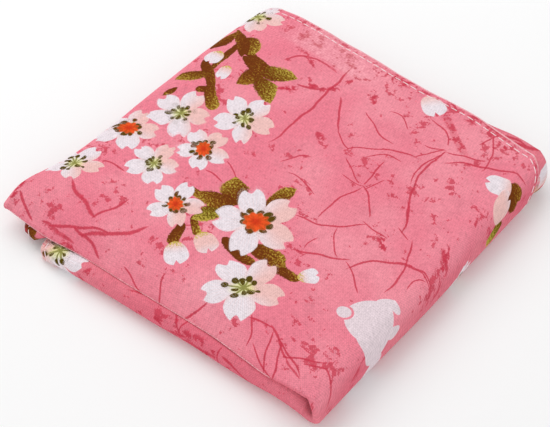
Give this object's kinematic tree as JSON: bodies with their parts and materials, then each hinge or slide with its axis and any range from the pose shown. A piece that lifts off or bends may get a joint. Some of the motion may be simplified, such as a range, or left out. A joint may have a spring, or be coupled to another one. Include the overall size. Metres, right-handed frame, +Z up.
{
  "type": "folded furoshiki",
  "caption": "Square wrapping cloth folded again and again into a flat square packet, with soft rounded folds at its front edges and fanned hems at its back.",
  "frame": {"origin": "middle of the packet in plan, on the table under it", "axes": "+Z up from the table; +Y towards the open side with the hems, along the longer side in plan; +X towards the outer turn that encloses the other layers"},
  "size_m": [0.1268, 0.1332, 0.0137],
  "materials": {
    "printed_cotton": "matte, printed plain weave"
  },
  "bodies": {
    "root": {"furoshiki_cloth": "printed_cotton"}
  },
  "joints": []
}
